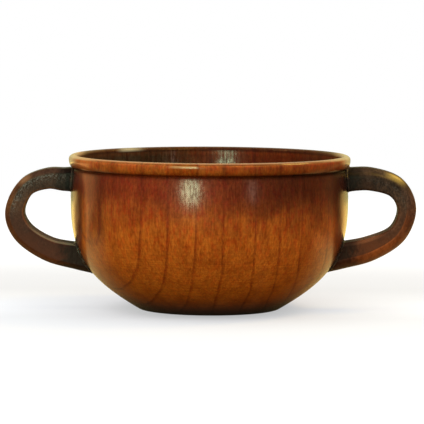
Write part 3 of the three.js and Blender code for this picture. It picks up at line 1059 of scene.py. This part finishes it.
handle_finish = dark_bar_wood()
wall_outline = [Vector((point.x + glue_line, point.y)) for point in outside_points(grooved=False)]
wall_profile = drawn_line(
    "wall_profile", [Vector((0, wall_outline[0].y)), *wall_outline, Vector((0, wall_outline[-1].y))]
)
sawn_bar_tree = sawn_bar()
coped_handle_tree = coped_handle()
bars = {}
for side, shape in handle_shapes.items():
    bars[side] = {
        "Course": bar_course(f"course_{side}", shape),
        "Section": bar_section(f"section_{side}", shape),
        "Mean thickness": mean_thickness,
        "Wall": wall_profile,
    }
for side, bar in bars.items():
    handle = made_with(
        f"handle_{side}_sawn", coped_handle_tree, {**bar, "Drills": peg_drills, "Wood": handle_finish}
    )
    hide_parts(f"handle_{side}")
    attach(handle, "root")

# Pegs
# Four round pegs of pale straight-grained wood, glued across the seats in blind holes. They are hidden when
# the cup is whole.


def pale_peg_wood():
    """Bare pale wood with its fibres along the peg."""
    ring_spacing = 1.1 * MM
    dark_wood = (0.5, 0.3, 0.13)
    light_wood = (0.68, 0.46, 0.23)
    line_wood = (0.38, 0.2, 0.08)
    material, shader, place = new_finish("pale_peg_wood")
    lying = {"Vector": place, "Rotation": (0, math.pi / 2, 0)}
    turned = node(place.id_data, "ShaderNodeMapping", lying).outputs[0]
    seen = figure_of(turned, calc("DIVIDE", axes(turned)["X"], ring_spacing), 0.3)
    wood = blended(seen["Fibre"], dark_wood, light_wood)
    fill_inputs(
        shader,
        {
            "Base Color": covered(wood, product(seen["Ring line"], 0.5), line_wood),
            "Roughness": uneven(seen["Fibre"], 0.6, 0.75),
        },
    )
    return material


peg_finish = pale_peg_wood()
for name in peg_names:
    peg_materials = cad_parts[name].data.materials
    peg_materials.clear()
    peg_materials.append(peg_finish)

# Glue
# Dark glue squeezed out round each of the four seats and left as a lumpy bead in the corner between the bar
# and the wall, under the lacquer. It is wiped thinner under the bar.

bead_radius = 0.55 * MM
bead_step = 0.45 * MM
bead_sides = 14
wiped_share = 0.4
lumps_per_metre = 420.0
glue_seed = 3.0


def squeezed_glue():
    """A lumpy bead along the seam where a bar meets the wall, at its upper or its lower seat."""
    tree, given, result = new_shape_tree(
        "Squeezed glue",
        {
            **bar_inputs,
            "Wall": "Object",
            "Lowest": "Float",
            "Highest": "Float",
            "Bead radius": "Float",
            "Seed": "Float",
            "Glue": "Material",
        },
    )
    compare = "FunctionNodeCompare"
    both = "FunctionNodeBooleanMath"
    cut = bar_at_wall(given, "EXACT")
    height = axes(node(tree, "GeometryNodeInputPosition").outputs[0])["Z"]
    above = calc("GREATER_THAN", height, given["Lowest"], compare)
    below = calc("LESS_THAN", height, given["Highest"], compare)
    at_seat = calc("AND", calc("AND", above, below, both), cut.outputs["Intersecting Edges"], both)
    edges = {"Mesh": cut.outputs["Mesh"], "Selection": at_seat}
    seam = node(tree, "GeometryNodeMeshToCurve", edges).outputs[0]
    spacing = {"Curve": seam, "Length": bead_step}
    even = node(tree, "GeometryNodeResampleCurve", spacing, mode="LENGTH").outputs[0]
    lumpiness = {"W": given["Seed"], "Scale": lumps_per_metre, "Detail": 2.0}
    lumps = node(tree, "ShaderNodeTexNoise", lumpiness, noise_dimensions="4D").outputs["Fac"]
    heights = node(tree, "GeometryNodeAttributeStatistic", {"Geometry": even, "Attribute": height}).outputs
    from_underside = calc("SUBTRACT", height, heights["Min"])
    wiped = between(from_underside, 0.3, 2, wiped_share, 1)
    thickness = product(given["Bead radius"], wiped, uneven(lumps, 0.6, 1.3))
    circle = {"Resolution": bead_sides, "Radius": 1.0}
    section = node(tree, "GeometryNodeCurvePrimitiveCircle", circle).outputs[0]
    sweep = {"Curve": even, "Profile Curve": section, "Scale": thickness}
    bead = node(tree, "GeometryNodeCurveToMesh", sweep).outputs[0]
    fill_inputs(result, {"Geometry": finished(bead, given["Glue"])})
    return tree


def set_glue():
    """Near-black set glue with a wet gloss and small lumps."""
    dark_glue = (0.018, 0.01, 0.007)
    light_glue = (0.055, 0.028, 0.015)
    material, shader, place = new_finish("set_glue")
    lumps = stretched_noise(place, 0.9, 0.9)
    wetness = stretched_noise(place, 3, 3, detail=1)
    fill_inputs(
        shader,
        {
            "Base Color": blended(ramp(lumps, 0.35, 0.65), dark_glue, light_glue),
            "Roughness": ramp(wetness, 0.5, 0.65, 0.5, 0.12),
            "Normal": bumped(lumps, 0.6, 0.2),
        },
    )
    return material


squeezed_glue_tree = squeezed_glue()
glue = {"Bead radius": bead_radius, "Seed": glue_seed, "Glue": set_glue()}
for side, bar in bars.items():
    shape = handle_shapes[side]
    halfway = (shape["upper"][0] + shape["lower"][0]) / 2
    for seat, lowest, highest in (("upper", halfway, cup_height), ("lower", 0.0, halfway)):
        bead = made_with(
            f"glue_{side}_{seat}", squeezed_glue_tree, {**bar, **glue, "Lowest": lowest, "Highest": highest}
        )
        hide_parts(f"glue_bead_{side}_{seat}")
        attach(bead, "root")

for bar in bars.values():
    bpy.data.objects.remove(bar["Course"])
    bpy.data.objects.remove(bar["Section"])
for helper in (bowl_profile, wall_profile, peg_drills):
    bpy.data.objects.remove(helper)

# Table, light and camera
# The cup stands on a plain white table in front of a white backdrop. A soft lamp like a window stands to the
# camera's left and a wide one hangs above. Lamps high up on both sides and a faint one low on the right give
# the lacquer more glints, and the room behind the camera is dark.

# What the lacquer mirrors, by its bearing in degrees from the camera's side of the cup, left to right: the
# backdrop behind, brighter towards its end, a gap, a warm screen, the dark room with a faint strip in it, a
# faint screen, a gap, and the backdrop from its other end.
backdrop = (0.45, 0.43, 0.21)
left_backdrop = (1.2, 0.9, 0.3)
right_backdrop = (0.75, 0.6, 0.2)
backdrop_end = (0.95, 0.58, 0.17)
dark_room = (0.02, 0.017, 0.01)
room_gap = (0.03, 0.025, 0.014)
left_screen = (1.2, 0.56, 0.2)
faint_strip = (0.1, 0.08, 0.04)
right_screen = (0.12, 0.09, 0.04)
mirrored_stops = (
    (-180, backdrop),
    (-159, backdrop),
    (-150, left_backdrop),
    (-144, backdrop_end),
    (-139, room_gap),
    (-136, room_gap),
    (-132, left_screen),
    (-113, left_screen),
    (-105, dark_room),
    (30, dark_room),
    (34, faint_strip),
    (38, dark_room),
    (102, dark_room),
    (112, right_screen),
    (124, right_screen),
    (127, room_gap),
    (132, room_gap),
    (143, backdrop_end),
    (154, right_backdrop),
    (165, backdrop),
)


def mirrored_room(x, y):
    """The tone of the room as the lacquer mirrors it, by the bearing of a place or a direction."""
    turns = calc("DIVIDE", calc("ARCTAN2", x, product(y, -1.0)), 2 * math.pi)
    tones = node(x.id_data, "ShaderNodeValToRGB", {0: calc("ADD", turns, 0.5)})
    stops = tones.color_ramp.elements
    for i, (bearing, colour) in enumerate(mirrored_stops):
        share = bearing / 360 + 0.5
        stop = stops[i] if i < len(stops) else stops.new(share)
        stop.position = share
        stop.color = (*colour, 1)
    return tones.outputs["Color"]


def table_white():
    """White to the camera, a warm tone to the cup's shading and the mirrored room to its lacquer. It glows
    to the camera, more beside the cup and less by its foot and behind it, which paints the shape of the
    cup's shadow."""
    seen_white = (0.27, 0.28, 0.305)
    cast_tone = (0.2, 0.18, 0.13)
    behind_tone = (0.4, 0.3, 0.13)
    foot_glow = 0.4
    near_glow = 0.5
    far_glow = 0.15
    beside_glow = 0.08
    behind_shade = 0.12
    material, shader, place = new_finish("table_white")
    ray = node(place.id_data, "ShaderNodeLightPath").outputs
    x, y, _ = axes(place)
    from_cup = vector_calc("LENGTH", place)
    close_behind = product(between(from_cup, 80, 220, 1, 0), between(y, -30, 0))
    mirrored = blended(close_behind, mirrored_room(x, y), behind_tone)
    cast = blended(ray["Is Glossy Ray"], cast_tone, mirrored)
    even_glow = calc(
        "ADD", between(from_cup, 30, 48, foot_glow, near_glow), between(from_cup, 120, 350, 0, far_glow)
    )
    glow = calc("ADD", even_glow, between(calc("ABSOLUTE", y), 8, 40, beside_glow, 0))
    shade = between(y, 25, 80, 0, between(y, 120, 250, behind_shade, 0))
    fill_inputs(
        shader,
        {
            "Base Color": blended(ray["Is Camera Ray"], cast, seen_white),
            "Roughness": 0.9,
            "Specular IOR Level": 0.0,
            "Emission Color": (1, 1, 1, 1),
            "Emission Strength": product(ray["Is Camera Ray"], calc("SUBTRACT", glow, shade)),
        },
    )
    return material


table_radius = 0.6
table_mesh = bpy.data.meshes.new("table")
table_form = bmesh.new()
bmesh.ops.create_circle(table_form, cap_ends=True, segments=96, radius=table_radius)
table_form.to_mesh(table_mesh)
table_form.free()
table_mesh.materials.append(table_white())
table = bpy.data.objects.new("table", table_mesh)
bpy.context.scene.collection.objects.link(table)

fill_left = 1.4
fill_right = 1.1
fill_low = 0.8
fill_high = 1.3

world = bpy.data.worlds.new("studio")
world.use_nodes = True
bpy.context.scene.world = world
room = world.node_tree
ray = node(room, "ShaderNodeLightPath").outputs
east, north, up = axes(node(room, "ShaderNodeTexCoord").outputs["Generated"])
mirrored = blended(ramp(up, 0.35, 0.7, 0, 0.85), mirrored_room(east, north), dark_room)
reflected = calc("MAXIMUM", ray["Is Glossy Ray"], ray["Is Transmission Ray"])
fill = product(ramp(east, -1, 1, fill_left, fill_right), ramp(up, 0, 1, fill_low, fill_high))
lit = blended(reflected, fill, mirrored)
fill_inputs(room.nodes["Background"], {"Color": blended(ray["Is Camera Ray"], lit, (1, 1, 1))})

cup_middle = Vector((0, 0, cup_height / 2))


def soft_lamp(name, place, size, watts, colour, lights):
    """A soft oval lamp aimed at the cup, which can't be seen itself. It lights all, or only gives glints,
    or gives no glints."""
    lamp = bpy.data.lights.new(name, "AREA")
    lamp.shape = "ELLIPSE"
    lamp.size, lamp.size_y = size
    lamp.energy = watts
    lamp.color = colour
    fitting = bpy.data.objects.new(name, lamp)
    fitting.location = place
    fitting.rotation_euler = (cup_middle - Vector(place)).to_track_quat("-Z", "Y").to_euler()
    fitting.visible_camera = False
    fitting.visible_glossy = lights != "no glints"
    fitting.visible_diffuse = lights != "glints"
    bpy.context.scene.collection.objects.link(fitting)


window_distance = 1.5
window_height = 0.215
window_bearing = math.radians(15)
window_place = (
    -window_distance * math.sin(window_bearing),
    -window_distance * math.cos(window_bearing),
    window_height,
)

# Each lamp's name, place, width and height, power in watts, colour and what it lights.
lamps = (
    ("window", window_place, (0.4, 0.37), 5.0, (0.74, 1.0, 0.6), "all"),
    ("overhead", (0, 0, 1.4), (1.4, 1.4), 8.0, (1.0, 0.97, 0.7), "no glints"),
    ("shoulder", (0.78, 0.26, 1.05), (0.42, 0.42), 7.0, (1.0, 0.65, 0.16), "all"),
    ("right", (0.6, -0.78, 1.02), (0.65, 0.65), 7.0, (1.0, 0.62, 0.1), "glints"),
    ("left", (-0.93, -0.06, 1.0), (0.4, 0.4), 2.5, (1.0, 0.6, 0.25), "glints"),
    ("strip", (0.855, -1.23, 0.22), (0.2, 0.3), 0.34, (1.0, 0.72, 0.55), "all"),
)
for lamp in lamps:
    soft_lamp(*lamp)

# The camera has the photograph's view: a long lens a little above the rim, square on and hardly tilted.
camera_place = Vector((1.06 * MM, -1.3, 0.144))
camera_aim = Vector((1.06 * MM, 0, 39.5 * MM))
camera_roll = math.radians(0.3)
camera_data = bpy.data.cameras.new("camera")
camera_data.sensor_width = 36
camera_data.lens = 270.7
camera = bpy.data.objects.new("camera", camera_data)
camera.location = camera_place
camera.rotation_euler = (camera_aim - camera_place).to_track_quat("-Z", "Y").to_euler()
camera.rotation_euler.rotate_axis("Z", camera_roll)
bpy.context.scene.collection.objects.link(camera)
bpy.context.scene.camera = camera
bpy.context.scene.view_settings.view_transform = "Standard"
